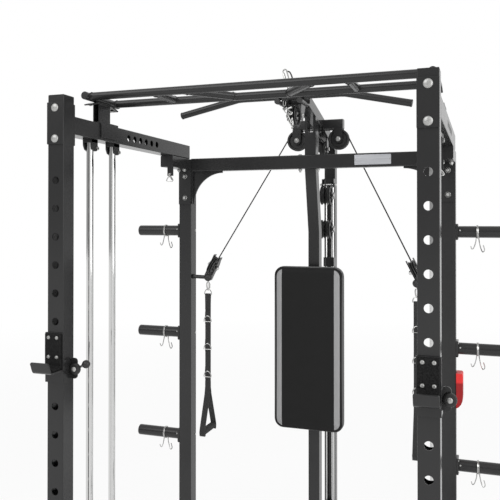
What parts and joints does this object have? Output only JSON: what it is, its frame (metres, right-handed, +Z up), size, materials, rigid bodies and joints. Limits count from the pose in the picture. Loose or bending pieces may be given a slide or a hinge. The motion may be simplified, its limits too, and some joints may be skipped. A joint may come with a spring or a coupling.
{
  "type": "power cage",
  "caption": "Steel power cage with a guided bar on chrome rods, J-hooks, pull-up frame, lat boom, swivel cable pulleys, back pad and plate pegs.",
  "frame": {"origin": "on the floor under the middle of the whole object's box", "axes": "+X to the user's right as seen from the front, +Y from the front to the rear, +Z up"},
  "size_m": [2.06, 1.749, 2.3029],
  "materials": {
    "frame_paint": "satin charcoal powder coat",
    "chrome": "polished",
    "black_plastic": "matte",
    "cable_cover": "smooth nylon cover over steel cable",
    "liner_rubber": "rough crumb rubber",
    "webbing": "woven strap with a foam grip",
    "vinyl": "matte upholstery vinyl",
    "red_plastic": "semi-gloss"
  },
  "bodies": {
    "frame": {"left_front_upright": "frame_paint", "right_front_upright": "frame_paint", "left_rear_upright": "frame_paint", "right_rear_upright": "frame_paint", "left_base_rail": "frame_paint", "right_base_rail": "frame_paint", "left_side_beam": "frame_paint", "right_side_beam": "frame_paint", "left_joint_plate": "frame_paint", "right_joint_plate": "frame_paint", "left_rear_arm": "frame_paint", "right_rear_arm": "frame_paint", "left_pull_up_post": "frame_paint", "right_pull_up_post": "frame_paint", "left_pulley_arm": "frame_paint", "right_pulley_arm": "frame_paint", "left_front_guide_rod": "chrome", "right_front_guide_rod": "chrome", "left_rear_guide_rod": "chrome", "right_rear_guide_rod": "chrome", "left_weight_rod": "chrome", "right_weight_rod": "chrome", "left_arm_cable": "cable_cover", "right_arm_cable": "cable_cover", "rear_base_frame": "frame_paint", "rear_crossbeam": "frame_paint", "pull_up_frame": "frame_paint", "lat_boom": "frame_paint", "centre_post": "frame_paint", "rear_column": "frame_paint", "back_pad": "vinyl", "pad_bracket": "frame_paint", "lat_cable": "cable_cover", "lift_cable": "cable_cover", "accessory_holster": "red_plastic"},
    "bar_runner": {"left_bar_carriage": "frame_paint", "right_bar_carriage": "frame_paint"},
    "guided_bar": {"smith_bar": "chrome", "left_latch_hook": "frame_paint", "right_latch_hook": "frame_paint"},
    "weight_carriage": {"weight_carriage": "frame_paint"},
    "lat_bar": {"lat_bar": "frame_paint"},
    "lat_pulley": {"lat_pulley": "black_plastic"},
    "boom_pulley": {"boom_pulley": "black_plastic"},
    "upper_twin_pulley": {"upper_twin_pulley": "black_plastic"},
    "lower_twin_pulley": {"lower_twin_pulley": "black_plastic"},
    "left_hook": {"left_j_hook": "frame_paint", "left_hook_liner": "liner_rubber"},
    "left_knob": {"left_hook_knob": "black_plastic"},
    "left_arm_pulley": {"left_arm_pulley": "black_plastic"},
    "left_swivel": {"left_swivel_bracket": "frame_paint"},
    "left_swivel_pulley": {"left_swivel_pulley": "black_plastic"},
    "left_strap": {"left_strap_handle": "webbing"},
    "right_hook": {"right_j_hook": "frame_paint", "right_hook_liner": "liner_rubber"},
    "right_knob": {"right_hook_knob": "black_plastic"},
    "right_arm_pulley": {"right_arm_pulley": "black_plastic"},
    "right_swivel": {"right_swivel_bracket": "frame_paint"},
    "right_swivel_pulley": {"right_swivel_pulley": "black_plastic"},
    "right_strap": {"right_strap_handle": "webbing"}
  },
  "joints": [
    {"name": "bar_travel", "type": "slide", "parent": "frame", "child": "bar_runner", "axis": [0, 0, 1], "range_m": [0, 1.5]},
    {"name": "bar_turn", "type": "hinge", "parent": "bar_runner", "child": "guided_bar", "pos_m": [0, -0.4885, 0.33], "axis": [1, 0, 0], "range_deg": [-30, 0]},
    {"name": "weight_travel", "type": "slide", "parent": "frame", "child": "weight_carriage", "axis": [0, 0, 1], "range_m": [0, 1.05], "deforming": ["lift_cable"]},
    {"name": "lat_bar_lift", "type": "slide", "parent": "frame", "child": "lat_bar", "axis": [0, 0, 1], "range_m": [0, 0.12]},
    {"name": "lat_pulley_spin", "type": "hinge", "parent": "frame", "child": "lat_pulley", "pos_m": [0, 0.0245, 2.12], "axis": [1, 0, 0], "continuous": true},
    {"name": "boom_pulley_spin", "type": "hinge", "parent": "frame", "child": "boom_pulley", "pos_m": [0, 0.5345, 2.034], "axis": [1, 0, 0], "continuous": true},
    {"name": "upper_twin_spin", "type": "hinge", "parent": "frame", "child": "upper_twin_pulley", "pos_m": [0, 0.5965, 1.815], "axis": [1, 0, 0], "continuous": true},
    {"name": "lower_twin_spin", "type": "hinge", "parent": "frame", "child": "lower_twin_pulley", "pos_m": [0, 0.5965, 1.65], "axis": [1, 0, 0], "continuous": true},
    {"name": "left_hook_lift_off", "type": "slide", "parent": "frame", "child": "left_hook", "axis": [0, -1, 0], "range_m": [0, 0.07]},
    {"name": "left_knob_turn", "type": "hinge", "parent": "left_hook", "child": "left_knob", "pos_m": [-0.5367, -0.7455, 1.205], "axis": [0, 1, 0], "continuous": true},
    {"name": "left_arm_pulley_spin", "type": "hinge", "parent": "frame", "child": "left_arm_pulley", "pos_m": [-0.098, 0.4245, 2.066], "axis": [0, 1, 0], "continuous": true},
    {"name": "left_swivel_turn", "type": "hinge", "parent": "frame", "child": "left_swivel", "pos_m": [-0.5597, 0.2595, 1.431], "axis": [1, 0, 0], "range_deg": [-30, 30], "deforming": ["left_arm_cable"]},
    {"name": "left_swivel_pulley_spin", "type": "hinge", "parent": "left_swivel", "child": "left_swivel_pulley", "pos_m": [-0.457, 0.2595, 1.481], "axis": [0.894, 0, -0.448], "continuous": true},
    {"name": "left_strap_swing", "type": "hinge", "parent": "left_swivel", "child": "left_strap", "pos_m": [-0.4669, 0.2179, 1.432], "axis": [1, 0, 0], "range_deg": [-20, 20]},
    {"name": "right_hook_lift_off", "type": "slide", "parent": "frame", "child": "right_hook", "axis": [0, -1, 0], "range_m": [0, 0.07]},
    {"name": "right_knob_turn", "type": "hinge", "parent": "right_hook", "child": "right_knob", "pos_m": [0.6433, -0.7455, 1.205], "axis": [0, 1, 0], "continuous": true},
    {"name": "right_arm_pulley_spin", "type": "hinge", "parent": "frame", "child": "right_arm_pulley", "pos_m": [0.098, 0.4245, 2.066], "axis": [0, 1, 0], "continuous": true},
    {"name": "right_swivel_turn", "type": "hinge", "parent": "frame", "child": "right_swivel", "pos_m": [0.5597, 0.2595, 1.431], "axis": [1, 0, 0], "range_deg": [-30, 30], "deforming": ["right_arm_cable"]},
    {"name": "right_swivel_pulley_spin", "type": "hinge", "parent": "right_swivel", "child": "right_swivel_pulley", "pos_m": [0.457, 0.2595, 1.481], "axis": [0.894, 0, 0.448], "continuous": true},
    {"name": "right_strap_swing", "type": "hinge", "parent": "right_swivel", "child": "right_strap", "pos_m": [0.4669, 0.2179, 1.432], "axis": [1, 0, 0], "range_deg": [-20, 20]}
  ]
}
